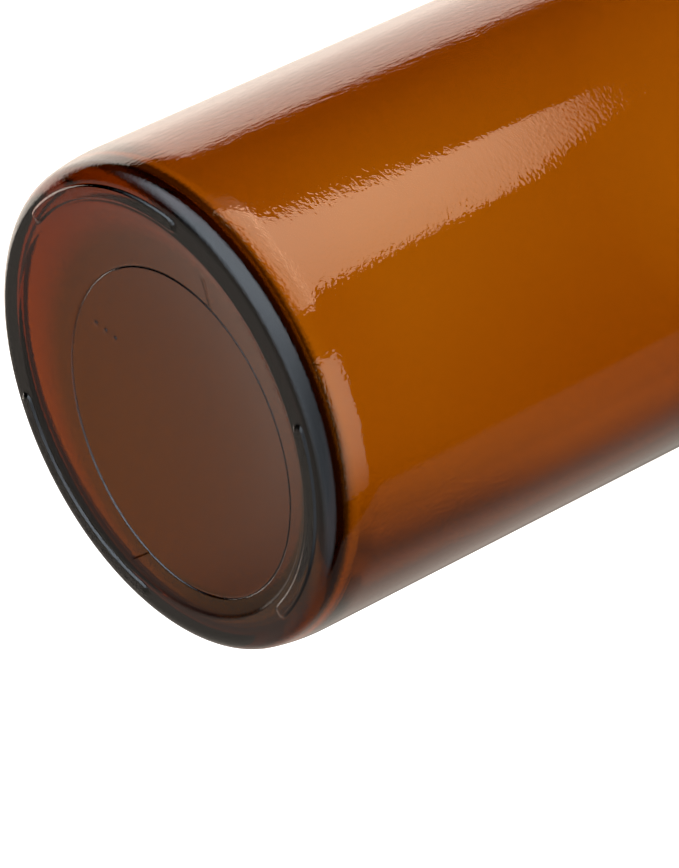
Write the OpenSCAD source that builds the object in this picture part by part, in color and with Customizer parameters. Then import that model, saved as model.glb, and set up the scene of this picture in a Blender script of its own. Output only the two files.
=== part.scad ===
// Swing-top growler: a round glass bottle with a wire-bail stopper closure.
// Millimetres, +Z up. The origin is the centre of the base, on the table plane.
// X runs along the closure's hinge lines, and -Y is the front, where the thumb lever hangs.

/* [Bottle] */
// Outside diameter of the straight body
body_d = 95; // [92:1:98]
// Height where the straight body ends and the shoulder begins
shoulder_z = 140; // [120:1:150]
// Height of the glass, from the table to the lip
glass_h = 236; // [232:1:246]
// Wall thickness of the body
wall = 3.2; // [2.8:0.1:3.8]
// Rise of the base's push-up at its centre
push_up = 5.5; // [3:0.5:7]
// Radius of the mouth's bore
mouth_r = 11; // [10.8:0.1:11]

/* [Base marks] */
// Number of raised bearing ribs on the base
rib_count = 3; // [3:1:6]
// Angle that each bearing rib covers
rib_sweep = 56; // [30:1:56]
// Height of the bearing ribs
rib_h = 0.4; // [0.3:0.1:0.6]
// Direction of the first rib's middle
rib_turn = 79; // [0:1:119]

/* [Closure] */
// Diameter of the lever's and the bail's wire
wire_d = 2.8; // [2.4:0.1:2.8]
// Distance from the lever's pivot to the bail's pivot on the lever
crank = 12; // [11:0.5:12]
// How far the bail's pivot lies past the lever's pivot when closed
over_centre = 0.8; // [0.4:0.1:1.2]
// Length of the lever's straight arms below the bail's pivot
arm_l = 14; // [10:1:16]
// Height of the clamping band
band_h = 8; // [7:0.5:8]

/* [Hidden] */
$fn = 72;

running = 0.05;              // radial clearance of every pin in its hole
seated = 0.02;               // gap between parts that are clamped or riveted together

// Bottle
body_r = body_d / 2;
shoulder_r = 0.68 * body_r;  // radius of the rounded shoulder
neck_fillet = 0.2 * body_r;  // hollow curve between the shoulder and the neck
neck_low_r = 16.4;           // neck radius above the hollow curve
neck_top_r = 14.4;           // neck radius under the bead
heel_sweep_r = 35;           // large curve that narrows the body towards the heel
heel_sweep_z = 11;           // height where that curve starts
heel_r = 3.6;                // tight curve of the heel
dome_edge_r = 0.84 * body_r; // radius where the push-up meets the bearing ring
base_t = 5;                  // glass thickness at the centre of the base
inner_heel_r = 3;            // rounding inside the heel

// Finish: the rings that the closure holds on to
lip_r = 16;
lip_h = 9;
lip_outer_round = 3;
lip_inner_round = 2.4;
groove_r = 14;
groove_h = 14;
bead_r = 15.2;
bead_h = 4;

// Closure
wire_r = wire_d / 2;
eye_r = 1.05 * wire_r;       // the wire is a little swollen where it is rolled into an eye
pivot_z = glass_h - 15;
band_t = 1;
band_in_r = groove_r + seated;
boss_r = 3.9;
boss_x = 16;                 // outer face of the band's pressed pivot bosses
stud_flange_t = 0.9;
stud_flange_r = 3;
stud_r = 1.9;
tail_r = 1.5;
lever_x = 18.6;              // plane of the lever's arms, either side of the neck
stud_head_x = lever_x + wire_r + 0.2;
stud_head_t = 1.4;
stud_head_r = 3.2;
bail_x = stud_head_x + stud_head_t + wire_r + 0.4;
button_x = bead_r + 0.6;     // inner end of the bail's pivot pins
button_t = 1.1;
button_r = 2.3;

stopper_z = glass_h + 10.5;  // height of the bail's cross wire in the stopper
pin_eye = wire_r + running + eye_r;
drop_a = 18;                 // the lever's arms lean this far forward of straight down
kick_a = 32;                 // its thumb loop is bent this far forward of the arms
crank_y = over_centre;
crank_z = pivot_z - crank;
bail_lean = atan2(over_centre, stopper_z - crank_z);
bail_rise = norm([over_centre, stopper_z - crank_z]);

// Clamp screw, an M3 with a slotted cheese head
ear_gap = 2.4;
ear_t = 1.2;
ear_y = 24;
screw_y = 20;
screw_r = 1.5;
screw_hole_r = 1.6;
screw_head_r = 2.75;
screw_head_t = 2;
nut_flats = 5.5;
nut_t = 2.4;
washer_t = 0.8;
washer_r = 3.1;
ear_face = ear_gap / 2 + ear_t;

// Stopper and gasket, heights from the lip
gasket_top = 1;
gasket_low = -3.2;
gasket_cone_top = 0.6;
gasket_gap = 0.06;           // from the gasket's 45 degree cone to the lip's inner rounding
gasket_cone = mouth_r + 2 * lip_inner_round - (lip_inner_round + gasket_gap) * sqrt(2);
gasket_top_r = gasket_cone + gasket_cone_top;
gasket_low_r = gasket_cone + gasket_low;
nose_r = 5.6;
nose_button_r = 6.6;
nose_low = -5.4;
cap_r = 13.6;
cap_skirt_h = 4.2;
cap_top = 18.5;
cap_round = 5;

// Points of an arc about c, from angle a0 to a1, in n steps
function arc(c, r, a0, a1, n) = [for (i = [0:n]) let (a = a0 + (a1 - a0) * i / n)
    [c[0] + r * cos(a), c[1] + r * sin(a)]];

// Push-up: part of a sphere through the centre rise and the bearing ring
dome_r = (dome_edge_r * dome_edge_r + push_up * push_up) / (2 * push_up);
dome_c = rib_h + push_up - dome_r;
dome_a = asin(dome_edge_r / dome_r);
function dome_z(rho) = dome_c + sqrt(dome_r * dome_r - rho * rho);

// Heel: the tight curve touches the bearing ring and the large curve
heel_cz = rib_h + heel_r;
sweep_c = [body_r - heel_sweep_r, heel_sweep_z];
heel_c = [sweep_c[0] + sqrt(pow(heel_sweep_r - heel_r, 2) - pow(heel_cz - heel_sweep_z, 2)),
          heel_cz];
heel_a = atan2(heel_cz - heel_sweep_z, heel_c[0] - sweep_c[0]);

// Shoulder and the hollow curve above it touch each other
shoulder_c = [body_r - shoulder_r, shoulder_z];
hollow_r = neck_low_r + neck_fillet;
hollow_c = [hollow_r, shoulder_z + sqrt(pow(shoulder_r + neck_fillet, 2)
                                        - pow(hollow_r - shoulder_c[0], 2))];
turn_a = atan2(hollow_c[1] - shoulder_c[1], hollow_c[0] - shoulder_c[0]);

groove_z = glass_h - lip_h - groove_h;
bead_z = groove_z - bead_h;

outer_line = concat(
    [[0, dome_c + dome_r]],
    arc([0, dome_c], dome_r, 90 - dome_a / 8, 90 - dome_a, 7),
    arc(heel_c, heel_r, -90, heel_a, 8),
    arc(sweep_c, heel_sweep_r, heel_a * 0.75, 0, 3),
    arc(shoulder_c, shoulder_r, 0, turn_a, 18),
    arc(hollow_c, neck_fillet, 180 + turn_a * 0.875, 180, 7),
    [[neck_top_r, bead_z - 1.5]],
    arc([bead_r - bead_h / 2, bead_z + bead_h / 2], bead_h / 2, -70, 70, 8),
    [[groove_r, groove_z + 0.5], [groove_r, glass_h - lip_h - 0.8], [lip_r, glass_h - lip_h + 0.4]],
    arc([lip_r - lip_outer_round, glass_h - lip_outer_round], lip_outer_round, 0, 90, 6));

floor_z = rib_h + push_up + base_t;
inner_dome_r = dome_r + base_t;
inner_r = body_r - wall;
inner_heel_c = [inner_r - inner_heel_r,
                dome_c + sqrt(pow(inner_dome_r + inner_heel_r, 2) - pow(inner_r - inner_heel_r, 2))];
inner_meet_a = atan2(inner_heel_c[0], inner_heel_c[1] - dome_c);
inner_line = concat(
    arc([mouth_r + lip_inner_round, glass_h - lip_inner_round], lip_inner_round, 90, 180, 6),
    [[mouth_r, groove_z - 12]],
    arc(hollow_c, neck_fillet + wall, 180, 180 + turn_a, 8),
    arc(shoulder_c, shoulder_r - wall, turn_a * 0.95, 0, 18),
    arc(inner_heel_c, inner_heel_r, 0, -90 - inner_meet_a, 10),
    arc([0, dome_c], inner_dome_r, 90 - inner_meet_a * 0.8, 90 - inner_meet_a * 0.2, 4),
    [[0, floor_z]]);

// One raised rib with round ends on the bearing ring
module bearing_rib() {
    rib_w = 0.05 * body_r;
    rib_mid = 0.88 * body_r;
    rib_top = 1;
    rotate([0, 0, -rib_sweep / 2])
        rotate_extrude(angle = rib_sweep)
            translate([rib_mid - rib_w / 2, 0])
                square([rib_w, rib_top]);
    for (side = [-1, 1])
        rotate([0, 0, side * rib_sweep / 2])
            translate([rib_mid, 0, 0])
                cylinder(h = rib_top, r = rib_w / 2);
}

// Three small round marks in a row, just proud of the push-up
module base_dots() {
    dot_r = 0.5;
    dot_proud = 0.25;
    dot_turn = 149;
    for (step = [0:2]) {
        rho = (0.38 + 0.05 * step) * body_r;
        rotate([0, 0, dot_turn])
            translate([rho, 0, dome_z(rho) - dot_proud])
                cylinder(h = 1, r = dot_r);
    }
}

// The fine circle left under the base by the blank mould, a little off the bottle's centre
module scar_ring() {
    scar_r = 0.66 * body_r;
    scar_off = 0.103 * body_r;
    scar_half_w = 0.25;
    scar_depth = 0.2;
    intersection() {
        translate([scar_off, 0, 0])
            difference() {
                cylinder(h = push_up + 1, r = scar_r + scar_half_w);
                translate([0, 0, -1])
                    cylinder(h = push_up + 3, r = scar_r - scar_half_w);
            }
        translate([0, 0, dome_c])
            sphere(r = dome_r + scar_depth);
    }
}

module bottle() {
    color([0.45, 0.22, 0.02, 0.6])
        difference() {
            union() {
                rotate_extrude()
                    polygon(concat(outer_line, inner_line));
                for (i = [0:rib_count - 1])
                    rotate([0, 0, rib_turn + i * 360 / rib_count])
                        bearing_rib();
                base_dots();
            }
            scar_ring();
        }
}

// A cylinder along X from x0 to x1, at the origin of Y and Z
module x_rod(x0, x1, r) {
    translate([x0, 0, 0])
        rotate([0, 90, 0])
            cylinder(h = x1 - x0, r = r);
}

module neck_band() {
    color("silver")
        difference() {
            union() {
                translate([0, 0, pivot_z - band_h / 2])
                    cylinder(h = band_h, r = band_in_r + band_t);
                translate([-ear_face, groove_r - 1, pivot_z - band_h / 2])
                    cube([2 * ear_face, ear_y - groove_r + 1, band_h]);
                translate([0, 0, pivot_z])
                    x_rod(-boss_x, boss_x, boss_r);
            }
            translate([0, 0, pivot_z - band_h])
                cylinder(h = 2 * band_h, r = band_in_r);
            translate([-ear_gap / 2, 0, pivot_z - band_h])
                cube([ear_gap, ear_y + 1, 2 * band_h]);
            translate([0, screw_y, pivot_z])
                x_rod(-boss_x, boss_x, screw_hole_r);
            translate([0, 0, pivot_z])
                x_rod(-boss_x - 1, boss_x + 1, tail_r + seated);
        }
}

// One shouldered stud on +X: tail in the band, flange, bearing and domed head
module stud() {
    head_round = 0.5;
    color("gainsboro")
        rotate([0, 90, 0])
            rotate_extrude()
                polygon(concat(
                    [[0, band_in_r + 0.1], [tail_r, band_in_r + 0.1], [tail_r, boss_x + seated],
                     [stud_flange_r, boss_x + seated], [stud_flange_r, boss_x + stud_flange_t],
                     [stud_r, boss_x + stud_flange_t], [stud_r, stud_head_x],
                     [stud_head_r, stud_head_x]],
                    arc([stud_head_r - head_round, stud_head_x + stud_head_t - head_round],
                        head_round, 0, 90, 4),
                    [[0, stud_head_x + stud_head_t]]));
}

module pivot_studs() {
    for (side = [0, 180])
        translate([0, 0, pivot_z])
            rotate([0, 0, side])
                stud();
}

module clamp_screw() {
    slot_w = 0.8;
    slot_d = 0.9;
    tip = -ear_face - washer_t - nut_t - 0.9;
    color("gainsboro")
        translate([0, screw_y, pivot_z])
            difference() {
                union() {
                    x_rod(tip, ear_face + seated + 0.5, screw_r);
                    x_rod(ear_face + seated, ear_face + seated + screw_head_t, screw_head_r);
                }
                translate([ear_face + seated + screw_head_t - slot_d, -screw_head_r - 1, -slot_w / 2])
                    cube([slot_d + 1, 2 * screw_head_r + 2, slot_w]);
            }
}

module clamp_nut() {
    color("gainsboro")
        translate([-ear_face - washer_t - nut_t - 2 * seated, screw_y, pivot_z])
            rotate([0, 90, 0])
                difference() {
                    cylinder(h = nut_t, r = nut_flats / 2 / cos(30), $fn = 6);
                    translate([0, 0, -1])
                        cylinder(h = nut_t + 2, r = screw_r + seated);
                }
}

// Split spring washer under the nut
module lock_washer() {
    split = 0.7;
    color("silver")
        translate([-ear_face - washer_t - seated, screw_y, pivot_z])
            rotate([0, 90, 0])
                difference() {
                    cylinder(h = washer_t, r = washer_r);
                    translate([0, 0, -1])
                        cylinder(h = washer_t + 2, r = screw_hole_r);
                    translate([screw_r / 2, -split / 2, -1])
                        cube([washer_r, split, washer_t + 2]);
                }
}

// Wire drawn along +Z from here, with the rest of the wire after it
module straight(len) {
    cylinder(h = len, r = wire_r);
    translate([0, 0, len])
        children();
}

// Wire bent towards +X from its heading of +Z, with the rest of the wire after it
module bend(radius, angle) {
    translate([radius, 0, 0])
        rotate([90, 0, 0])
            rotate([0, 0, 180 - angle])
                rotate_extrude(angle = angle)
                    translate([radius, 0])
                        circle(r = wire_r);
    translate([radius * (1 - cos(angle)), 0, radius * sin(angle)])
        rotate([0, angle, 0])
            children();
}

// Closed wire eye about the X axis, for a pin of radius pin_r
module eye(pin_r) {
    rotate([0, 90, 0])
        rotate_extrude()
            translate([pin_r + running + eye_r, 0])
                circle(r = eye_r);
}

// One side of the lever: stud eye, link, bail eye, and the arm down to its knee
module lever_side() {
    stud_eye = stud_r + running + eye_r;
    reach = norm([over_centre, crank]);
    eye(stud_r);
    rotate([atan2(over_centre, crank), 0, 0])
        translate([0, 0, -reach + pin_eye])
            cylinder(h = reach - pin_eye - stud_eye, r = wire_r);
    translate([0, crank_y, -crank]) {
        eye(wire_r);
        rotate([180 - drop_a, 0, 0])
            translate([0, 0, pin_eye]) {
                cylinder(h = arm_l, r = wire_r);
                translate([0, 0, arm_l])
                    sphere(r = eye_r);
            }
    }
}

// Thumb loop between the two knees, bent forward of the arms
module thumb_loop() {
    lead = 2;
    translate([lever_x, crank_y - (pin_eye + arm_l) * sin(drop_a),
               crank_z - (pin_eye + arm_l) * cos(drop_a)])
        rotate([180 - drop_a - kick_a, 0, 0])
            rotate([0, 0, 180])
                straight(lead)
                    bend(lever_x, 180)
                        straight(lead);
}

module lever() {
    color("lightgray")
        union() {
            for (side = [-1, 1])
                translate([side * lever_x, 0, pivot_z])
                    lever_side();
            thumb_loop();
        }
}

// The bail is one wire: pivot pins that point inwards, two arms and the stopper's cross wire
module bail() {
    foot_r = 2.5;
    top_r = 8;
    foot_l = bail_x - button_x - foot_r;
    color("lightgray")
        translate([0, crank_y, crank_z])
            rotate([bail_lean, 0, 0])
                union() {
                    translate([button_x, 0, 0])
                        rotate([0, 90, 0])
                            straight(foot_l)
                                rotate([0, 0, 180])
                                    bend(foot_r, 90)
                                        straight(bail_rise - foot_r - top_r)
                                            bend(top_r, 90)
                                                straight(2 * (bail_x - top_r))
                                                    bend(top_r, 90)
                                                        straight(bail_rise - foot_r - top_r)
                                                            bend(foot_r, 90)
                                                                straight(foot_l);
                    for (side = [0, 180])
                        rotate([0, 0, side])
                            x_rod(button_x, button_x + button_t, button_r);
                }
}

module stopper() {
    z0 = glass_h;
    skirt_round = 0.8;
    crown_c = [cap_r - cap_round, z0 + cap_top - cap_round];
    color("ivory")
        difference() {
            rotate_extrude()
                polygon(concat(
                    [[0, z0 + nose_low], [nose_button_r - 0.8, z0 + nose_low],
                     [nose_button_r, z0 + nose_low + 0.8], [nose_button_r, z0 + gasket_low - 0.4],
                     [nose_r, z0 + gasket_low - seated], [nose_r, z0 + gasket_top + seated]],
                    arc([cap_r - skirt_round, z0 + gasket_top + seated + skirt_round],
                        skirt_round, -90, 0, 4),
                    [[cap_r, z0 + cap_skirt_h]],
                    arc([crown_c[0] - 2, crown_c[1]], cap_round, 10, 90, 8),
                    [[0, z0 + cap_top]]));
            translate([0, 0, stopper_z])
                x_rod(-cap_r - 1, cap_r + 1, wire_r + running);
        }
}

module gasket() {
    color("firebrick")
        translate([0, 0, glass_h])
            rotate_extrude()
                polygon([[nose_r + seated, gasket_low], [gasket_low_r, gasket_low],
                         [gasket_top_r, gasket_cone_top], [gasket_top_r - 0.2, gasket_top],
                         [nose_r + seated, gasket_top]]);
}

bottle();
neck_band();
pivot_studs();
clamp_screw();
clamp_nut();
lock_washer();
lever();
bail();
stopper();
gasket();
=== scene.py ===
import math

import bmesh
import bpy
import numpy as np
from mathutils import Matrix, Vector


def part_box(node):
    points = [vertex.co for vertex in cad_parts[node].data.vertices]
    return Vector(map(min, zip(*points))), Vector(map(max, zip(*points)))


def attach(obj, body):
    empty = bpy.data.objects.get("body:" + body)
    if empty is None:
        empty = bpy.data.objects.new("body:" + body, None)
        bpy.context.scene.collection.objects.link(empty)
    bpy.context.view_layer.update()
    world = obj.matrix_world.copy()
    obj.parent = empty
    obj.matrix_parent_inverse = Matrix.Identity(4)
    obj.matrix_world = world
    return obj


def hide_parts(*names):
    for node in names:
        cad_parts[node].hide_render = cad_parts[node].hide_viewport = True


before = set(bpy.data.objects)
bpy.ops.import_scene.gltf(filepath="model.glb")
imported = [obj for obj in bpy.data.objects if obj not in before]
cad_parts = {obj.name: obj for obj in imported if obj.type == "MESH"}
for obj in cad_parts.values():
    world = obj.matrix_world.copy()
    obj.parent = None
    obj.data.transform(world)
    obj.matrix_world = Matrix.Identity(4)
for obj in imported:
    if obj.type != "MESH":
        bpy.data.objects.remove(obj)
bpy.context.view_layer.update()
MM = 0.001

# ---------------------------------------------------------------- sizes of the glass

BOTTLE_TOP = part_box("bottle")[1]
R = round(BOTTLE_TOP.x, 5)
GLASS_H = BOTTLE_TOP.z

WALL = 3.2 * MM
BASE_T = 5 * MM
PUSH_UP = 5.5 * MM
DOME_EDGE = 0.84 * R
HEEL_R = 3.6 * MM
INNER_HEEL = 3 * MM
SWEEP_R = 35 * MM
SWEEP_Z = 11 * MM
SHOULDER_Z = 140 * MM
SHOULDER_R = 0.68 * R
HOLLOW_R = 0.2 * R
NECK_LOW = 16.4 * MM
NECK_TOP = 14.4 * MM
BEAD_R = 15.2 * MM
BEAD_H = 4 * MM
GROOVE_R = 14 * MM
GROOVE_H = 14 * MM
LIP_R = 16 * MM
LIP_H = 9 * MM
LIP_OUT = 3 * MM
LIP_IN = 2.4 * MM
MOUTH_R = 11 * MM

# Bearing ribs, scar ring, seams and the three round marks under the base
RIB_H = 0.4 * MM
RIB_MID = 0.88 * R
RIB_W = 0.05 * R
RIB_HALF = 29.3
RIB_DIRS = (79, 199, 319)
SCAR_R = 0.66 * R
SCAR_OFF = 0.103 * R
SCAR_W = 0.34 * MM
SCAR_DEPTH = 0.22 * MM
SEAM_DIR = 58.5
SEAM_END = 0.775 * R
SEAM_DEPTH = 0.15 * MM
DOT_R = 0.55 * MM
DOT_H = 0.25 * MM
DOT_TURN = math.radians(149)
DOT_PLACES = [(k * R * math.cos(DOT_TURN), k * R * math.sin(DOT_TURN)) for k in (0.38, 0.43, 0.48)]

# Centres and radii of the outline's arcs, and the angles at which one runs into the next
DOME_R = (DOME_EDGE ** 2 + PUSH_UP ** 2) / (2 * PUSH_UP)
DOME_C = RIB_H + PUSH_UP - DOME_R
SWEEP_C = (R - SWEEP_R, SWEEP_Z)
HEEL_Z = RIB_H + HEEL_R
HEEL_X = SWEEP_C[0] + math.sqrt((SWEEP_R - HEEL_R) ** 2 - (HEEL_Z - SWEEP_Z) ** 2)
HEEL_A = math.degrees(math.atan2(HEEL_Z - SWEEP_Z, HEEL_X - SWEEP_C[0]))
SHOULDER_C = (R - SHOULDER_R, SHOULDER_Z)
HOLLOW_X = NECK_LOW + HOLLOW_R
HOLLOW_RISE = math.sqrt((SHOULDER_R + HOLLOW_R) ** 2 - (HOLLOW_X - SHOULDER_C[0]) ** 2)
HOLLOW_C = (HOLLOW_X, SHOULDER_Z + HOLLOW_RISE)
TURN_A = math.degrees(math.atan2(HOLLOW_RISE, HOLLOW_X - SHOULDER_C[0]))
GROOVE_Z = GLASS_H - LIP_H - GROOVE_H
BEAD_Z = GROOVE_Z - BEAD_H

# Points in each ring of the glass
SEGMENTS = 480

# Blown glass is uneven: a seed, and the heights of its slow and its fine waves
OUTER_WAVES = (3, 0.03 * MM, 0.004 * MM)
INNER_WAVES = (11, 0.65 * MM, 0.03 * MM)

# ---------------------------------------------------------------- outlines


def arc(centre, radius, start, stop, count):
    """Points of an arc, angles in degrees, both ends included."""
    angles = np.radians(np.linspace(start, stop, count + 1))
    return [(centre[0] + radius * math.cos(t), centre[1] + radius * math.sin(t)) for t in angles]


def line(a, b, count):
    """Points along a straight stretch, without its first point."""
    shares = [i / count for i in range(1, count + 1)]
    return [(a[0] + (b[0] - a[0]) * s, a[1] + (b[1] - a[1]) * s) for s in shares]


def smooth(x, low, high):
    """0 below low, 1 above high, with a smooth step between."""
    t = min(1.0, max(0.0, (x - low) / (high - low)))
    return t * t * (3 - 2 * t)


def turned_by(angle, other):
    """The angle from other to angle in degrees, between -180 and 180."""
    return (angle - other + 180) % 360 - 180


def outer_outline():
    """From the bearing ring's outer edge over heel, body, shoulder, neck and bead to the lip's top."""
    pts = arc((HEEL_X, HEEL_Z), HEEL_R, -90, HEEL_A, 18)
    pts += arc(SWEEP_C, SWEEP_R, HEEL_A, 0, 10)[1:]
    pts += line((R, SWEEP_Z), (R, SHOULDER_Z), 70)
    pts += arc(SHOULDER_C, SHOULDER_R, 0, TURN_A, 40)[1:]
    pts += arc(HOLLOW_C, HOLLOW_R, 180 + TURN_A, 180, 14)[1:]
    pts += line(pts[-1], (NECK_TOP, BEAD_Z - 1.5 * MM), 14)
    pts += arc((BEAD_R - BEAD_H / 2, BEAD_Z + BEAD_H / 2), BEAD_H / 2, -70, 70, 12)
    pts += [(GROOVE_R + 0.15 * MM, GROOVE_Z + 0.2 * MM), (GROOVE_R, GROOVE_Z + 0.5 * MM)]
    under = GLASS_H - LIP_H
    pts += line(pts[-1], (GROOVE_R, under - 0.9 * MM), 8)
    pts += [(GROOVE_R + 0.3 * MM, under - 0.45 * MM), (GROOVE_R + 1.6 * MM, under + 0.2 * MM)]
    pts += [(LIP_R - 0.2 * MM, under + 0.5 * MM), (LIP_R, under + 0.8 * MM)]
    pts += arc((LIP_R - LIP_OUT, GLASS_H - LIP_OUT), LIP_OUT, 0, 90, 10)
    return pts


def inner_outline():
    """From the lip's inner rounding down to the middle of the floor."""
    inner = R - WALL
    dome = DOME_R + BASE_T
    heel_x = inner - INNER_HEEL
    heel_rise = math.sqrt((dome + INNER_HEEL) ** 2 - heel_x ** 2)
    heel_c = (heel_x, DOME_C + heel_rise)
    meet = math.degrees(math.atan2(heel_x, heel_rise))
    pts = arc((MOUTH_R + LIP_IN, GLASS_H - LIP_IN), LIP_IN, 90, 180, 10)
    pts += line(pts[-1], (MOUTH_R, GROOVE_Z - 12 * MM), 10)
    low = arc(HOLLOW_C, HOLLOW_R + WALL, 180, 180 + TURN_A, 18)
    pts += line(pts[-1], low[0], 8)[:-1] + low
    pts += arc(SHOULDER_C, SHOULDER_R - WALL, TURN_A, 0, 36)[1:]
    pts += line(pts[-1], (inner, heel_c[1]), 60)
    pts += arc(heel_c, INNER_HEEL, 0, -90 - meet, 24)[1:]
    pts += arc((0, DOME_C), dome, 90 - meet, 90, 26)[1:-1]
    return pts


# ---------------------------------------------------------------- underside of the base


def dome_z(rho):
    """Height of the push-up's underside at a distance from the bottle's axis."""
    return DOME_C + math.sqrt(DOME_R ** 2 - rho ** 2)


def base_radii():
    """Ring radii under the base, closest where the marks, the scar ring and the ribs are."""
    radii = list(np.linspace(0.03, 0.43, 18) * R)
    radii += list(np.linspace(0.44, 0.61, 46) * R)
    radii += [0.63 * R]
    radii += list(np.linspace(SCAR_R - 2.2 * SCAR_W, SCAR_R + 2.2 * SCAR_W, 13))
    radii += list(np.linspace(0.69, 0.835, 14) * R)
    radii += list(np.linspace(0.84, 0.905, 22) * R)
    return radii


def rib_height(rho, angle):
    """How far a bearing rib stands out at a place on the bearing ring, angle in degrees."""
    nearest = 1.0
    for middle in RIB_DIRS:
        over = max(0.0, abs(turned_by(angle, middle)) - RIB_HALF)
        along = math.radians(over) * RIB_MID
        nearest = min(nearest, math.hypot(rho - RIB_MID, along))
    return RIB_H * (1 - smooth(nearest, 0.42 * RIB_W, 0.58 * RIB_W))


def dot_height(x, y):
    """How far the three round marks stand out of the push-up."""
    nearest = min(math.hypot(x - place[0], y - place[1]) for place in DOT_PLACES)
    return DOT_H * (1 - smooth(nearest, 0.3 * DOT_R, 1.15 * DOT_R))


def seam_height(ring, angle):
    """How deep the two short seams are cut, on opposite sides outside the scar ring."""
    off = min(abs(turned_by(angle, SEAM_DIR)), abs(turned_by(angle + 180, SEAM_DIR)))
    return SEAM_DEPTH if off < 0.5 and SCAR_R + SCAR_W < ring < SEAM_END else 0.0


def base_point(ring, angle):
    """A point under the base: rings are centred on the scar inside it and on the bottle outside."""
    share = 1 - min(1.0, max(0.0, (ring - SCAR_R) / (DOME_EDGE - SCAR_R)))
    t = math.radians(angle)
    x = ring * math.cos(t) + SCAR_OFF * share
    y = ring * math.sin(t)
    rho = math.hypot(x, y)
    edge = smooth(rho, DOME_EDGE - 1.0 * MM, DOME_EDGE + 0.7 * MM)
    z = dome_z(min(rho, DOME_EDGE)) * (1 - edge) + RIB_H * edge
    z += SCAR_DEPTH * math.exp(-((ring - SCAR_R) / (0.5 * SCAR_W)) ** 2)
    z += seam_height(ring, angle)
    z -= rib_height(rho, math.degrees(math.atan2(y, x))) + dot_height(x, y)
    return x, y, z


# ---------------------------------------------------------------- mesh building


def mesh_object(name, verts, faces):
    """A smooth-shaded object from points and faces."""
    mesh = bpy.data.meshes.new(name)
    mesh.from_pydata(verts, [], faces)
    mesh.validate()
    mesh.update()
    for poly in mesh.polygons:
        poly.use_smooth = True
    obj = bpy.data.objects.new(name, mesh)
    bpy.context.scene.collection.objects.link(obj)
    return obj


def face_outwards(obj):
    """Turns every face of a closed mesh outwards."""
    bm = bmesh.new()
    bm.from_mesh(obj.data)
    bmesh.ops.recalc_face_normals(bm, faces=bm.faces)
    bm.to_mesh(obj.data)
    bm.free()
    return obj


def ring_mesh(name, rings, caps):
    """A closed mesh from rings of points, with a single point at each capped end."""
    count = len(rings[0])
    verts = [p for ring in rings for p in ring]
    faces = []
    for i in range(len(rings) - 1):
        for j in range(count):
            k = (j + 1) % count
            faces.append((i * count + j, i * count + k, (i + 1) * count + k, (i + 1) * count + j))
    for cap, row, flip in ((caps[0], 0, True), (caps[1], len(rings) - 1, False)):
        tip = len(verts)
        verts.append(cap)
        for j in range(count):
            a, b = row * count + j, row * count + (j + 1) % count
            faces.append((tip, b, a) if flip else (tip, a, b))
    return mesh_object(name, verts, faces)


def turned(name, outline, segments=128):
    """A closed solid of revolution about Z; the outline runs down from the top of the axis."""
    angles = [2 * math.pi * i / segments for i in range(segments)]
    rings = [[(r * math.cos(t), r * math.sin(t), z) for t in angles] for r, z in reversed(outline[1:-1])]
    return ring_mesh(name, rings, ((0, 0, outline[-1][1]), (0, 0, outline[0][1])))


def joined(name, shapes):
    """One object from several closed shapes."""
    verts, faces = [], []
    for v, f in shapes:
        faces += [tuple(len(verts) + k for k in face) for face in f]
        verts += [tuple(p) for p in v]
    return face_outwards(mesh_object(name, verts, faces))


def bake(obj):
    """Applies the object's modifiers to its mesh."""
    graph = bpy.context.evaluated_depsgraph_get()
    graph.update()
    mesh = bpy.data.meshes.new_from_object(obj.evaluated_get(graph))
    obj.modifiers.clear()
    obj.data = mesh
    for poly in mesh.polygons:
        poly.use_smooth = True
    return obj


def cut_away(obj, cutter):
    """Removes the cutter's space from the object, and the cutter itself."""
    cut = obj.modifiers.new("cut", "BOOLEAN")
    cut.operation = "DIFFERENCE"
    cut.solver = "EXACT"
    cut.object = cutter
    bake(obj)
    bpy.data.objects.remove(cutter)
    return obj


# ---------------------------------------------------------------- glass


def soft_noise(x, y, z, seed):
    """Slow, smooth, repeatable waves from a few sines."""
    total = np.zeros_like(x)
    rng = np.random.default_rng(seed)
    waves = 7
    for _ in range(waves):
        k = rng.normal(0, 1, 3)
        k = k / np.linalg.norm(k) * rng.uniform(0.6, 1.6)
        total += np.sin(k[0] * x + k[1] * y + k[2] * z + rng.uniform(0, 6.28))
    return total / waves


def wavy(outline, seed, slow, fine):
    """Turns an outline into rings, with the slow and fine waves of blown glass."""
    angles = np.radians(np.linspace(0, 360, SEGMENTS, endpoint=False) + SEAM_DIR)
    x, y = np.cos(angles), np.sin(angles)
    rings = []
    for rho, z in outline:
        free = smooth(rho, 0.55 * R, 0.95 * R) * smooth(z, 12 * MM, 30 * MM)
        wave = slow * soft_noise(x * 2.2, y * 2.2, np.full_like(x, z * 45), seed)
        wave += fine * soft_noise(x * 9, y * 9, np.full_like(x, z * 190), seed + 1)
        r = rho + wave * free
        rings.append(list(zip((r * x).tolist(), (r * y).tolist(), [z] * SEGMENTS)))
    return rings


def build_bottle():
    """The glass: its underside, its outer wall up to the lip, and its inside back to the floor."""
    angles = np.linspace(0, 360, SEGMENTS, endpoint=False) + SEAM_DIR
    rings = [[base_point(r, a) for a in angles] for r in base_radii()]
    rings += wavy(outer_outline(), *OUTER_WAVES)
    rings += wavy(inner_outline(), *INNER_WAVES)
    bottom = (SCAR_OFF, 0, dome_z(SCAR_OFF))
    top = (0, 0, DOME_C + DOME_R + BASE_T)
    return ring_mesh("bottle_glass", rings, (bottom, top))


# ---------------------------------------------------------------- closure wires

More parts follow.
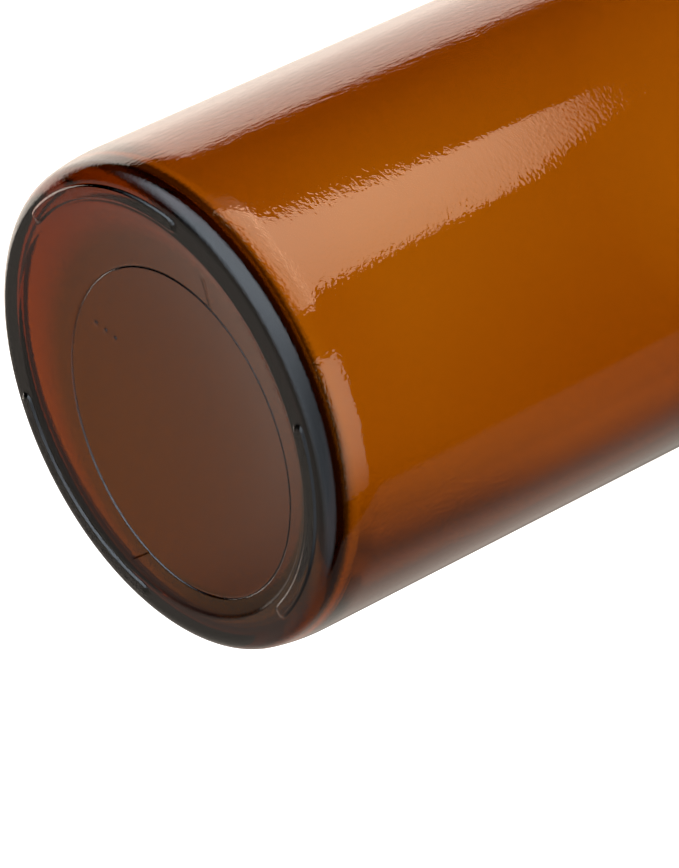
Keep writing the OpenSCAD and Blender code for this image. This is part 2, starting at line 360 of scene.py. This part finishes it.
PIVOT_Z = GLASS_H - 15 * MM
BAIL_PIVOT = Vector((0, 0.8 * MM, PIVOT_Z - 12 * MM))
CROSS_Z = GLASS_H + 10.5 * MM
WIRE_R = 1.4 * MM
LEVER_X = 18.6 * MM
STUD_EYE = 3.42 * MM
PIN_EYE = 2.92 * MM
ARM_L = 14 * MM
ARM_DROP = math.radians(18)
LOOP_DROP = math.radians(50)
BAIL_X = 23.4 * MM
PIN_END = 15.8 * MM

# The upset end of a pin: up to each distance from the end, how much thinner than BUTTON_R, in mm
BUTTON_R = 2.3 * MM
BUTTON_SHAPE = ((0.08, 0.35), (0.25, 0.08), (0.95, 0.0), (1.06, 0.12))


def filleted(corners, radii, step):
    """A path through corners, each inner one rounded to its radius."""
    path = [corners[0].copy()]
    for before, corner, after, radius in zip(corners, corners[1:], corners[2:], radii):
        a, b = (before - corner).normalized(), (after - corner).normalized()
        half = a.angle(b) / 2
        centre = corner + (a + b).normalized() * radius / math.sin(half)
        start, stop = corner + a * radius / math.tan(half), corner + b * radius / math.tan(half)
        u, v = start - centre, stop - centre
        turn = u.angle(v)
        count = max(4, int(turn * radius / step))
        for i in range(count + 1):
            here, there = math.sin(turn * (1 - i / count)), math.sin(turn * i / count)
            path.append(centre + (u * here + v * there) / math.sin(turn))
    path.append(corners[-1].copy())
    return path


def spaced(path, step):
    """The same path with extra points, so that no stretch is longer than step."""
    out = [path[0]]
    for a, b in zip(path, path[1:]):
        count = max(1, math.ceil((b - a).length / step))
        out += [a.lerp(b, i / count) for i in range(1, count + 1) if (b - a).length > 1e-7]
    return out


def tangents(path, closed):
    """The direction of a path at each of its points."""
    count = len(path)
    out = []
    for i in range(count):
        a = path[i - 1] if i or closed else path[0]
        b = path[(i + 1) % count] if i < count - 1 or closed else path[-1]
        out.append((b - a).normalized())
    return out


def tube(path, radius, closed=False):
    """Points and faces of a wire along a path; radius is a function of the length along it."""
    sides, count = 24, len(path)
    ahead = tangents(path, closed)
    side = ahead[0].orthogonal().normalized()
    verts, faces, along = [], [], 0.0
    for i in range(count):
        if i:
            along += (path[i] - path[i - 1]).length
            side = ahead[i - 1].rotation_difference(ahead[i]) @ side
        side = (side - ahead[i] * side.dot(ahead[i])).normalized()
        other = ahead[i].cross(side)
        for j in range(sides):
            t = 2 * math.pi * j / sides
            verts.append(path[i] + (side * math.cos(t) + other * math.sin(t)) * radius(along))
    for i in range(count if closed else count - 1):
        k = (i + 1) % count
        for j in range(sides):
            m = (j + 1) % sides
            faces.append((i * sides + j, i * sides + m, k * sides + m, k * sides + j))
    if not closed:
        faces.append(tuple(reversed(range(sides))))
        faces.append(tuple((count - 1) * sides + j for j in range(sides)))
    return verts, faces


def plain_wire(along):
    """The same thickness all the way along."""
    return WIRE_R


def eye(centre, radius):
    """A wire ring about the X direction."""
    turns = [2 * math.pi * i / 48 for i in range(48)]
    path = [centre + Vector((0, math.cos(t), math.sin(t))) * radius for t in turns]
    return tube(path, plain_wire, closed=True)


def lean(angle):
    """The direction that falls forward of straight down by an angle."""
    return Vector((0, -math.sin(angle), -math.cos(angle)))


def build_lever():
    """Two stud eyes, links and pin eyes, and one wire bent into the arms and the thumb loop."""
    shapes, ends = [], []
    for side in (1, -1):
        top = Vector((side * LEVER_X, 0, PIVOT_Z))
        low = Vector((side * LEVER_X, BAIL_PIVOT.y, BAIL_PIVOT.z))
        ahead = (low - top).normalized()
        link = [top + ahead * STUD_EYE, low - ahead * PIN_EYE]
        shapes += [eye(top, STUD_EYE), eye(low, PIN_EYE), tube(spaced(link, 0.6 * MM), plain_wire)]
        knee = low + lean(ARM_DROP) * (PIN_EYE + ARM_L)
        ends.append((low + lean(ARM_DROP) * PIN_EYE, knee, knee + lean(LOOP_DROP) * (2 * MM + LEVER_X)))
    corners = list(ends[0]) + list(reversed(ends[1]))
    path = filleted(corners, [5 * MM, LEVER_X * 0.999, LEVER_X * 0.999, 5 * MM], 0.6 * MM)
    shapes.append(tube(spaced(path, 0.8 * MM), plain_wire))
    obj = joined("lever_wire", shapes)
    remesh = obj.modifiers.new("remesh", "REMESH")
    remesh.mode = "VOXEL"
    remesh.voxel_size = 0.22 * MM
    relax = obj.modifiers.new("relax", "CORRECTIVE_SMOOTH")
    relax.iterations = 6
    relax.use_only_smooth = True
    return bake(obj)


def build_bail():
    """One wire: upset pin ends, arms, and the cross wire that holds the stopper."""
    top = Vector((BAIL_X, 0, CROSS_Z))
    foot = Vector((BAIL_X, BAIL_PIVOT.y, BAIL_PIVOT.z))
    end = Vector((PIN_END, BAIL_PIVOT.y, BAIL_PIVOT.z))
    mirror = Matrix.Scale(-1, 3, (1, 0, 0))
    corners = [end, foot, top]
    corners += [mirror @ p for p in reversed(corners)]
    path = filleted(corners, [2.5 * MM, 8 * MM, 8 * MM, 2.5 * MM], 0.4 * MM)
    fine = [end + Vector((t * MM, 0, 0)) for t in (0, 0.12, 0.3, 0.6, 0.9, 1.02, 1.12, 1.3)]
    path = spaced(fine + path[1:-1] + [mirror @ p for p in reversed(fine)], 0.8 * MM)
    total = sum((b - a).length for a, b in zip(path, path[1:]))

    def thickness(along):
        near = min(along, total - along)
        for reach, less in BUTTON_SHAPE:
            if near < reach * MM:
                return BUTTON_R - less * MM
        return WIRE_R

    return joined("bail_wire", [tube(path, thickness)])


# ---------------------------------------------------------------- stopper, gasket and screw

CAP_H = 18.5 * MM
CAP_R = 13.6 * MM
NOSE_R = 5.6 * MM
HOLE_R = 1.45 * MM
HOLE_FLARE = 0.9 * MM
HOLE_REACH = 13.5 * MM
SCREW_Y = 20 * MM
SCREW_R = 1.5 * MM
SCREW_TIP = -6.5 * MM
THREAD = 0.5 * MM
HEAD_LOW = 2.42 * MM
HEAD_R = 2.75 * MM
HEAD_T = 2 * MM


def cross_hole():
    """The cutter for the hole of the cross wire, flared at both ends."""
    half = []
    for i in range(9):
        t = math.pi / 2 * i / 8
        flare = HOLE_FLARE * (1 - math.cos(t))
        half.append((HOLE_R + flare, HOLE_REACH - 5 * HOLE_FLARE + HOLE_FLARE * math.sin(t)))
    end = HOLE_REACH + 2 * MM
    half.append((HOLE_R + 2.4 * MM, end))
    outline = [(0, end)] + list(reversed(half)) + [(r, -z) for r, z in half] + [(0, -end)]
    cutter = turned("cross_hole", outline, 48)
    for vert in cutter.data.vertices:
        x, y, z = vert.co
        vert.co = (z, y, CROSS_Z - x)
    return cutter


def build_stopper():
    """Glazed stopper: crowned cap, skirt, nose and nose button, with a flared cross hole."""
    lip = GLASS_H
    rim = CAP_R - 0.5 * MM
    outline = [(0, lip + CAP_H)]
    outline += arc((6.6 * MM, lip + CAP_H - 5 * MM), 5 * MM, 90, 22, 14)
    outline += arc((rim, lip + 4.7 * MM), 0.5 * MM, 15, 0, 4)
    outline += arc((rim, lip + 1.52 * MM), 0.5 * MM, 0, -90, 6)
    outline += arc((NOSE_R + 0.5 * MM, lip + 0.52 * MM), 0.5 * MM, 90, 180, 5)
    outline += arc((NOSE_R + 0.4 * MM, lip - 3.7 * MM), 0.4 * MM, 180, 90, 4)[:-1]
    outline += arc((NOSE_R + 0.4 * MM, lip - 4.6 * MM), 0.6 * MM, 80, -90, 10)
    outline += [(0, lip - 5.2 * MM)]
    return cut_away(turned("stopper_body", outline), cross_hole())


def build_gasket():
    """Soft cone washer with a rolled outer edge."""
    top, low = GLASS_H + 1 * MM, GLASS_H - 3.2 * MM
    wide, edge = 12.92 * MM, GLASS_H + 0.6 * MM
    narrow, inner = 9.12 * MM, 5.62 * MM
    outline = [(inner + 0.15 * MM, low), (narrow - 0.2 * MM, low), (narrow, low + 0.12 * MM)]
    outline += line(outline[-1], (wide - 0.1 * MM, edge - 0.12 * MM), 8)
    outline += [(wide - 0.02 * MM, edge + 0.05 * MM), (wide - 0.1 * MM, top - 0.08 * MM)]
    outline += [(wide - 0.25 * MM, top), (inner + 0.15 * MM, top)]
    outline += [(inner, top - 0.15 * MM), (inner, low + 0.15 * MM)]
    segments, count = 128, len(outline)
    angles = [2 * math.pi * i / segments for i in range(segments)]
    verts = [(r * math.cos(t), r * math.sin(t), z) for r, z in outline for t in angles]
    faces = []
    for i in range(count):
        for j in range(segments):
            k, m = (i + 1) % count * segments, (j + 1) % segments
            faces.append((i * segments + j, i * segments + m, k + m, k + j))
    return joined("rubber_gasket", [(verts, faces)])


def screw_ring(x, radius):
    """A ring about the screw's axis; radius is a function of the angle."""
    ring = []
    for j in range(48):
        t = 2 * math.pi * j / 48
        r = radius(t)
        ring.append((x, SCREW_Y + r * math.cos(t), PIVOT_Z + r * math.sin(t)))
    return ring


def thread_ring(x):
    """A ring of the threaded shank, which narrows at its tip."""
    def radius(t):
        phase = (x / THREAD - t / (2 * math.pi)) % 1.0
        depth = 0.27 * MM * min(1.0, 1.25 * abs(2 * phase - 1))
        run = smooth(x, SCREW_TIP, SCREW_TIP + 0.4 * MM)
        return (SCREW_R - 0.02 * MM - depth) * (0.8 + 0.2 * run)
    return screw_ring(x, radius)


def slot_cutter(high):
    """The block that cuts the screwdriver slot."""
    half_w, deep = 0.4 * MM, 0.9 * MM
    xs = (high - deep, high + 1 * MM)
    ys = (SCREW_Y - 4 * MM, SCREW_Y + 4 * MM)
    zs = (PIVOT_Z - half_w, PIVOT_Z + half_w)
    verts = [(x, y, z) for x in xs for y in ys for z in zs]
    faces = [(0, 1, 3, 2), (4, 6, 7, 5), (0, 4, 5, 1), (2, 3, 7, 6), (0, 2, 6, 4), (1, 5, 7, 3)]
    return joined("slot", [(verts, faces)])


def build_screw():
    """Slotted cheese-head screw with a cut thread and a chamfered tip."""
    rings = [thread_ring(x) for x in np.arange(SCREW_TIP, 2.35 * MM, THREAD / 10)]
    rings.append(thread_ring(2.4 * MM))
    low, high, edge = HEAD_LOW, HEAD_LOW + HEAD_T, 0.25 * MM
    head = ((low, SCREW_R), (low, HEAD_R - 0.1 * MM), (low + 0.1 * MM, HEAD_R), (high - edge, HEAD_R),
            (high - 0.4 * edge, HEAD_R - 0.25 * edge), (high, HEAD_R - edge))
    rings += [screw_ring(x, lambda t, r=r: r) for x, r in head]
    caps = ((SCREW_TIP, SCREW_Y, PIVOT_Z), (high, SCREW_Y, PIVOT_Z))
    return cut_away(ring_mesh("clamp_screw_threaded", rings, caps), slot_cutter(high))


# ---------------------------------------------------------------- shader nodes


def feed(tree, socket, value):
    """Gives a socket another node's output, or a plain value."""
    if isinstance(value, bpy.types.NodeSocket):
        tree.links.new(value, socket)
    else:
        socket.default_value = value


def add(tree, kind, inputs=None, **settings):
    """A new node with its settings, and with its inputs given by name or number."""
    node = tree.nodes.new("ShaderNode" + kind)
    for name, value in settings.items():
        setattr(node, name, value)
    for name, value in (inputs or {}).items():
        feed(tree, node.inputs[name], value)
    return node


def maths(tree, operation, a, b=0.0):
    return add(tree, "Math", {0: a, 1: b}, operation=operation).outputs[0]


def ramp(tree, value, low, high, at_low, at_high):
    """A smooth step of value, from at_low below low to at_high above high."""
    inputs = {"Value": value, "From Min": low, "From Max": high, "To Min": at_low, "To Max": at_high}
    return add(tree, "MapRange", inputs, interpolation_type="SMOOTHSTEP").outputs["Result"]


def noise(tree, vector, scale, detail):
    return add(tree, "TexNoise", {"Vector": vector, "Scale": scale, "Detail": detail}).outputs["Fac"]


def stretched(tree, vector, scale):
    return add(tree, "Mapping", {"Vector": vector, "Scale": scale}).outputs["Vector"]


def mixed(tree, factor, a, b):
    """A colour between a and b."""
    return add(tree, "Mix", {"Factor": factor, "A": a, "B": b}, data_type="RGBA").outputs["Result"]


def bumped(tree, height, distance, strength):
    inputs = {"Height": height, "Distance": distance, "Strength": strength}
    return add(tree, "Bump", inputs).outputs["Normal"]


def distance(tree, a, b):
    return add(tree, "VectorMath", {0: a, 1: b}, operation="DISTANCE").outputs["Value"]


def light_path(tree, kind):
    """1 for rays of one kind, and 0 for all others."""
    return add(tree, "LightPath").outputs[kind]


def object_coords(tree):
    return add(tree, "TexCoord").outputs["Object"]


def new_material(name):
    """An empty material and its node tree."""
    mat = bpy.data.materials.new(name)
    mat.use_nodes = True
    mat.node_tree.nodes.clear()
    return mat, mat.node_tree


# ---------------------------------------------------------------- materials

GLASS_COLOR = (0.80, 0.628, 0.10, 1)
GLASS_DENSITY = 1250
# Painted shade: the tint under the push-up and the dark colour in the scar groove
PUSH_UP_SHADE_TINT = (0.24, 0.62, 0.5, 1)
SCAR_GROOVE_SHADE = (0.02, 0.02, 0.02, 1)


def base_shade(tree, coords, z):
    """Painted shade: a darker tint under the push-up, and a painted dark line of shade in the scar
    groove.
    """
    under = ramp(tree, z, 6.1 * MM, 6.5 * MM, 1, 0)
    flat = add(tree, "VectorMath", {0: coords, 1: (1, 1, 0)}, operation="MULTIPLY").outputs[0]
    from_middle = distance(tree, flat, (0.09 * R, -0.07 * R, 0))
    inside = ramp(tree, from_middle, 0.74 * R, 0.92 * R, 1, 0)
    # Painted shade: the base's underside is tinted darker inside the bearing ring
    push_up_shade = mixed(tree, maths(tree, "MULTIPLY", inside, under), (1, 1, 1, 1), PUSH_UP_SHADE_TINT)
    off_scar = maths(tree, "SUBTRACT", distance(tree, flat, (SCAR_OFF, 0, 0)), SCAR_R)
    # Painted shade: a dark line along the scar groove
    groove_shade = ramp(tree, maths(tree, "ABSOLUTE", off_scar), 0.08 * MM, 0.3 * MM, 0.8, 0)
    return mixed(tree, maths(tree, "MULTIPLY", groove_shade, under), push_up_shade, SCAR_GROOVE_SHADE)


def glass_ripple(tree, coords, x, z):
    """Long drawn ripples on the -X side and short pressed ones elsewhere, where light first meets it."""
    waves = noise(tree, stretched(tree, coords, (1400, 1400, 420)), 1.0, 3)
    pimples = noise(tree, coords, 1300, 1)
    drawn = ramp(tree, x, -0.8 * R, -0.5 * R, 1, 0)
    pressed = maths(tree, "SUBTRACT", ramp(tree, x, 0.1 * R, 0.4 * R, 0.7, 0.25), drawn)
    pressed = maths(tree, "MAXIMUM", pressed, 0)
    pressed = maths(tree, "MULTIPLY", pressed, ramp(tree, z, 0.7 * R, 1.4 * R, 1, 0.35))
    waves = maths(tree, "MULTIPLY", waves, drawn)
    height = maths(tree, "ADD", waves, maths(tree, "MULTIPLY", pimples, pressed))
    first = maths(tree, "SUBTRACT", 1.0, light_path(tree, "Is Transmission Ray"))
    return bumped(tree, height, 0.045 * MM, first)


def amber_glass():
    """Clear-surfaced glass whose colour comes from its thickness, with painted shade under the push-up
    and in the scar groove.
    """
    mat, tree = new_material("amber_glass")
    coords = object_coords(tree)
    x, y, z = add(tree, "SeparateXYZ", {0: coords}).outputs
    glass = add(tree, "BsdfPrincipled", {
        "Base Color": base_shade(tree, coords, z),
        "Roughness": 0.0,
        "IOR": 1.52,
        "Transmission Weight": 1.0,
        "Normal": glass_ripple(tree, coords, x, z),
    })
    absorb = add(tree, "VolumeAbsorption", {"Color": GLASS_COLOR, "Density": GLASS_DENSITY})
    add(tree, "OutputMaterial", {"Surface": glass.outputs[0], "Volume": absorb.outputs[0]})
    return mat


def steel(name, rough, bright, grain):
    """Worked steel with fine drawn or turned lines, uneven gloss and duller, warmer patches."""
    mat, tree = new_material(name)
    coords = object_coords(tree)
    lines = noise(tree, stretched(tree, coords, grain), 1.0, 4)
    patches = noise(tree, coords, 140, 5)
    gloss = ramp(tree, lines, 0.3, 0.7, rough * 0.7, rough * 1.4)
    clean = (bright, bright, bright * 1.01, 1)
    dull = (bright * 0.72, bright * 0.7, bright * 0.66, 1)
    metal = add(tree, "BsdfPrincipled", {
        "Base Color": mixed(tree, ramp(tree, patches, 0.45, 0.75, 0, 1), clean, dull),
        "Metallic": 1.0,
        "Roughness": maths(tree, "ADD", maths(tree, "MULTIPLY", patches, 0.12), gloss),
        "Normal": bumped(tree, lines, 0.02 * MM, 0.6),
    })
    add(tree, "OutputMaterial", {"Surface": metal.outputs[0]})
    return mat


def ceramic():
    """White glaze over clay, with faint mottling and small darker specks."""
    mat, tree = new_material("glazed_ceramic")
    coords = object_coords(tree)
    mottle = noise(tree, coords, 260, 6)
    specks = add(tree, "TexVoronoi", {"Vector": coords, "Scale": 420}).outputs["Distance"]
    mottled = ramp(tree, mottle, 0.35, 0.65, 0, 1)
    white = mixed(tree, mottled, (0.85, 0.84, 0.81, 1), (0.89, 0.885, 0.865, 1))
    glaze = add(tree, "BsdfPrincipled", {
        "Base Color": mixed(tree, ramp(tree, specks, 0.05, 0.11, 0, 1), (0.55, 0.50, 0.42, 1), white),
        "Roughness": ramp(tree, mottle, 0.3, 0.7, 0.10, 0.2),
        "Coat Weight": 0.6,
        "Coat Roughness": 0.05,
        "Normal": bumped(tree, mottle, 0.015 * MM, 0.5),
    })
    add(tree, "OutputMaterial", {"Surface": glaze.outputs[0]})
    return mat


def rubber():
    """Matt red rubber with a dusty bloom and a fine moulded grain."""
    mat, tree = new_material("gasket_rubber")
    coords = object_coords(tree)
    grain = noise(tree, coords, 2600, 2)
    bloom = noise(tree, coords, 180, 5)
    dusty = ramp(tree, bloom, 0.4, 0.7, 0, 1)
    skin = add(tree, "BsdfPrincipled", {
        "Base Color": mixed(tree, dusty, (0.36, 0.035, 0.02, 1), (0.5, 0.12, 0.08, 1)),
        "Roughness": ramp(tree, bloom, 0.3, 0.7, 0.5, 0.72),
        "Normal": bumped(tree, grain, 0.04 * MM, 0.7),
    })
    add(tree, "OutputMaterial", {"Surface": skin.outputs[0]})
    return mat


# ---------------------------------------------------------------- camera and floor

# Fitted to the photo: the base circle, the scar ring and the outlines of the body
CAMERA_TILT = math.radians(32.612)
CAMERA_ROLL = math.radians(64.008)
CAMERA_AIM = Vector((0.367, 0, 0.690)) * R
CAMERA_AWAY = 20.619 * R
CAMERA_LENS = 225.2


def camera():
    """Looks up at the base from the front, rolled so that the bottle lies across the picture."""
    ahead = Vector((0, math.cos(CAMERA_TILT), math.sin(CAMERA_TILT)))
    rise = Vector((0, -math.sin(CAMERA_TILT), math.cos(CAMERA_TILT)))
    level = Vector((1, 0, 0))
    right = level * math.cos(CAMERA_ROLL) + rise * math.sin(CAMERA_ROLL)
    up = rise * math.cos(CAMERA_ROLL) - level * math.sin(CAMERA_ROLL)
    data = bpy.data.cameras.new("photo_camera")
    data.sensor_width = 36
    data.lens = CAMERA_LENS
    data.clip_start = 0.05
    data.clip_end = 20
    cam = bpy.data.objects.new("photo_camera", data)
    bpy.context.scene.collection.objects.link(cam)
    stand = Matrix((right, up, -ahead)).transposed().to_4x4()
    stand.translation = CAMERA_AIM - ahead * CAMERA_AWAY
    cam.matrix_world = stand
    bpy.context.scene.camera = cam


def stage_object(name, verts, faces):
    """A sheet that isn't part of the object."""
    mesh = bpy.data.meshes.new(name)
    mesh.from_pydata(verts, [], faces)
    mesh.update()
    obj = bpy.data.objects.new(name, mesh)
    bpy.context.scene.collection.objects.link(obj)
    return obj


def facing(tree, vector):
    """A world direction as the camera sees it: right, up and ahead."""
    turn = add(tree, "VectorTransform", {0: vector}, vector_type="VECTOR", convert_from="WORLD",
               convert_to="CAMERA")
    return add(tree, "SeparateXYZ", {0: turn.outputs[0]}).outputs


def camera_below(tree, no, yes):
    """yes when the camera looks up from below, and no when it looks down."""
    return ramp(tree, facing(tree, (0, 0, 1))[2], -0.002, 0.0, no, yes)


def mixed_shader(tree, factor, a, b):
    return add(tree, "MixShader", {0: factor, 1: a, 2: b}).outputs[0]


def floor():
    """A pale floor that fades out far away, isn't there from below, and glows with painted light where it
    is seen through glass.
    """
    half = 2.5
    corners = [(-half, -half, 0), (half, -half, 0), (half, half, 0), (-half, half, 0)]
    obj = stage_object("floor", corners, [(0, 1, 2, 3)])
    mat, tree = new_material("pale_floor")
    paint = add(tree, "BsdfPrincipled", {"Base Color": (0.82, 0.82, 0.81, 1), "Roughness": 0.6})
    # Painted light: the floor glows where seen through the glass, standing in for the light the amber
    # glass lets through
    glow = add(tree, "Emission", {"Strength": 1.5})
    clear = add(tree, "BsdfTransparent")
    painted_glow_share = maths(tree, "MULTIPLY", light_path(tree, "Is Transmission Ray"), 0.75)
    seen = mixed_shader(tree, painted_glow_share, paint.outputs[0], glow.outputs[0])
    away = distance(tree, object_coords(tree), (0, 0, 0))
    gone = maths(tree, "MAXIMUM", ramp(tree, away, 0.35, 1.9, 0, 1), camera_below(tree, 0, 1))
    add(tree, "OutputMaterial", {"Surface": mixed_shader(tree, gone, seen, clear.outputs[0])})
    obj.data.materials.append(mat)


# ---------------------------------------------------------------- light

BACKDROP = 2.3
SOFT_FILL = 0.46
PAPER_FROM_ABOVE = 0.8
PAPER_FROM_BELOW = 2.0

# Rows of the key softbox's strip: height in radii, upper and lower edge in degrees, strength
KEY_TILT = 32.3
KEY_STRIP = ((0.25, 214, 252.5, 1.0), (0.82, 219.8, 250.6, 0.97), (1.26, 221.6, 249.8, 0.85),
             (1.5, 222.4, 243, 0.62), (1.72, 223.2, 238, 0.3), (1.82, 223.4, 234, 0.0))

# Rows of its wider foot: degrees below the strip, strength, strength of the faint edge
KEY_FOOT = ((18, 0.0, 0.0), (14, 0.8, 0.05), (7.4, 0.95, 0.2), (6.8, 1.7, 0.2), (6.2, 1.0, 0.25),
            (4.8, 1.0, 0.3), (4.3, 1.9, 0.3), (3.7, 1.0, 0.3), (1.5, 1.0, 0.1), (0.4, 1.0, 0.0))

# The heel softbox: a direction and its share of the strength, and an elevation and its strength
HEEL_ACROSS = ((280, 1.0), (300, 0.95), (320, 0.7), (340, 0.1))
HEEL_UPWARDS = ((11, 0.0), (14, 2.8), (26, 2.8), (27, 2.0))


def backdrop(tree, up, ahead):
    """The bright sheet behind the object, weaker in the middle of what the glass mirrors."""
    sheet = ramp(tree, ahead, 0.50, 0.55, 0, BACKDROP)
    sheet = maths(tree, "MULTIPLY", sheet, ramp(tree, up, -0.16, -0.02, 0, 1))
    middle = ramp(tree, ahead, 0.88, 0.98, 1, 0.62)
    middle = maths(tree, "MAXIMUM", middle, light_path(tree, "Is Transmission Ray"))
    return maths(tree, "MULTIPLY", sheet, middle)


def table_top(tree, right, up, ahead):
    """The grey table below the object: brighter far away on the right, and evenly lit on the left."""
    near = ramp(tree, ahead, 0.08, 0.12, 0, 0.17)
    far = ramp(tree, ahead, 0.5, 0.95, 0, 0.45)
    there = maths(tree, "ADD", near, far)
    here = ramp(tree, ahead, -0.5, -0.2, 0, 0.4)
    left = ramp(tree, right, -0.6, 0.0, 1, 0)
    table = add(tree, "Mix", {"Factor": left, "A": there, "B": here}, data_type="FLOAT")
    return maths(tree, "MULTIPLY", table.outputs["Result"], ramp(tree, up, -0.25, -0.05, 1, 0))


def under_glow(tree, direction):
    """Soft daylight from below the table's height at the front, strongest towards -X."""
    x, y, z = add(tree, "SeparateXYZ", {0: direction}).outputs
    level = ramp(tree, x, -0.5, 0.5, 3.4, 0.9)
    level = maths(tree, "MULTIPLY", level, ramp(tree, y, 0.0, 0.5, 1, 0))
    return maths(tree, "MULTIPLY", level, ramp(tree, z, -0.45, -0.15, 1, 0))


def room_level(tree, direction):
    """The room's brightness in a direction, and plain paper where the camera sees it directly."""
    right, up, ahead = facing(tree, direction)
    level = maths(tree, "ADD", backdrop(tree, up, ahead), table_top(tree, right, up, ahead))
    fill = maths(tree, "MULTIPLY", light_path(tree, "Is Diffuse Ray"), SOFT_FILL)
    level = maths(tree, "ADD", level, fill)
    dimmed = maths(tree, "MULTIPLY", light_path(tree, "Is Transmission Ray"), 0.08)
    level = maths(tree, "MULTIPLY", level, maths(tree, "SUBTRACT", 1.0, dimmed))
    seen = light_path(tree, "Is Camera Ray")
    level = maths(tree, "MULTIPLY", level, maths(tree, "SUBTRACT", 1.0, seen))
    paper = camera_below(tree, PAPER_FROM_ABOVE, PAPER_FROM_BELOW)
    return maths(tree, "ADD", level, maths(tree, "MULTIPLY", paper, seen))


def studio_world():
    """A bright backdrop behind the object, a grey table below it, and a dark room around."""
    world = bpy.data.worlds.new("studio")
    world.use_nodes = True
    tree = world.node_tree
    tree.nodes.clear()
    direction = add(tree, "TexCoord").outputs["Generated"]
    mirrored = maths(tree, "SUBTRACT", light_path(tree, "Is Reflection Ray"),
                     light_path(tree, "Is Diffuse Ray"))
    warmth = mixed(tree, mirrored, (1, 1, 1, 1), (1.0, 0.88, 0.77, 1))
    room = add(tree, "Background", {"Color": warmth, "Strength": room_level(tree, direction)})
    daylight = add(tree, "Background", {"Color": (0.80, 0.89, 1.0, 1),
                                        "Strength": under_glow(tree, direction)})
    both = add(tree, "AddShader", {0: room.outputs[0], 1: daylight.outputs[0]})
    add(tree, "OutputWorld", {"Surface": both.outputs[0]})
    bpy.context.scene.world = world


def glow_panel(name, rows, color):
    """A sheet that shows only in reflections: each point has a height, direction, elevation, strength."""
    reach = 0.6
    verts, levels = [], []
    for z, direction, elevation, level in (point for row in rows for point in row):
        t = math.radians((direction + 270) / 2)
        a, e = math.radians(direction), math.radians(elevation)
        start = Vector((R * math.cos(t), R * math.sin(t), z * R))
        ahead = Vector((math.cos(a) * math.cos(e), math.sin(a) * math.cos(e), math.sin(e)))
        verts.append(start + reach * ahead)
        levels.append(level)
    width = len(rows[0])
    faces = [(i * width + j, i * width + j + 1, (i + 1) * width + j + 1, (i + 1) * width + j)
             for i in range(len(rows) - 1) for j in range(width - 1)]
    obj = stage_object(name, verts, faces)
    obj.data.attributes.new("glow", "FLOAT", "POINT").data.foreach_set("value", levels)
    mat, tree = new_material(name)
    read = add(tree, "Attribute", attribute_name="glow")
    light = add(tree, "Emission", {"Color": color, "Strength": read.outputs["Fac"]})
    add(tree, "OutputMaterial", {"Surface": light.outputs[0]})
    obj.data.materials.append(mat)
    obj.visible_camera = False
    obj.visible_transmission = False
    obj.visible_diffuse = False
    obj.visible_shadow = False


def key_row(z, upper, lower, tilt, level, glow):
    """One row across the key softbox: its dark outside, faint edge, bright top, middle and bottom."""
    return [(z, upper - 11, tilt, 0.0), (z, upper - 0.6, tilt, 5.6 * glow), (z, upper, tilt, 5.6 * level),
            (z, (upper + lower) / 2, tilt, 5.2 * level), (z, lower, tilt, 4.2 * level)]


def key_panel():
    """The big softbox at the front left: a strip, and below it a wider foot that the heel mirrors."""
    rows = []
    for drop, level, glow in KEY_FOOT:
        spread = min(drop, 4)
        upper, lower = 213 - 1.4 * spread - 0.2 * drop, 253 + 1.5 * spread
        rows.append(key_row(0.2, upper, lower, KEY_TILT - drop, level, glow))
    for z, upper, lower, level in KEY_STRIP:
        rows.append(key_row(z, upper, lower, KEY_TILT + 2.35 * z, level, 0.0))
    glow_panel("key_panel", rows, (1.0, 0.68, 0.45, 1))


def heel_panel():
    """A low softbox at the front right, which only the heel's curve mirrors from below."""
    rows = [[(0.2, direction, elevation, level * share) for direction, share in HEEL_ACROSS]
            for elevation, level in HEEL_UPWARDS]
    glow_panel("heel_panel", rows, (1.0, 0.8, 0.62, 1))


def overhead_light():
    """A soft lamp above the object, for the light and shadow on the floor."""
    data = bpy.data.lights.new("overhead", "AREA")
    data.energy = 12
    data.size = 0.9
    obj = bpy.data.objects.new("overhead", data)
    obj.location = (0, 0, 1.3)
    bpy.context.scene.collection.objects.link(obj)
    obj.visible_camera = False


# ---------------------------------------------------------------- assembly


def place(obj, body, node, slot, material):
    """Puts a finished piece in the place of its CAD node."""
    obj.data.materials.clear()
    obj.data.materials.append(material)
    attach(obj, body)
    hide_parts(node)


def refine(node, material, width):
    """Keeps a CAD node, with softened edges and its own finish."""
    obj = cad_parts[node]
    weld = obj.modifiers.new("weld", "WELD")
    weld.merge_threshold = 0.002 * MM
    bevel = obj.modifiers.new("soften", "BEVEL")
    bevel.width = width
    bevel.segments = 3
    bevel.limit_method = "ANGLE"
    bevel.angle_limit = math.radians(35)
    for part in obj.material_slots:
        part.material = material
    if not obj.material_slots:
        obj.data.materials.append(material)


WIRE = steel("wire_steel", 0.16, 0.62, (900, 900, 220))
BAND = steel("band_steel", 0.26, 0.55, (500, 500, 5200))
TURNED = steel("turned_steel", 0.22, 0.6, (3000, 900, 900))
place(build_bottle(), "bottle_body", "bottle", "amber_glass", amber_glass())
place(build_lever(), "lever_body", "lever", "wire_steel", WIRE)
place(build_bail(), "bail_body", "bail", "wire_steel", WIRE)
place(build_stopper(), "stopper_body", "stopper", "stopper_ceramic", ceramic())
place(build_gasket(), "stopper_body", "gasket", "gasket_rubber", rubber())
place(build_screw(), "bottle_body", "clamp_screw", "fastener_steel", TURNED)
refine("neck_band", BAND, 0.18 * MM)
refine("pivot_studs", TURNED, 0.12 * MM)
refine("clamp_nut", TURNED, 0.15 * MM)
refine("lock_washer", TURNED, 0.1 * MM)

camera()
floor()
studio_world()
key_panel()
heel_panel()
overhead_light()
bpy.context.scene.view_settings.view_transform = "Standard"
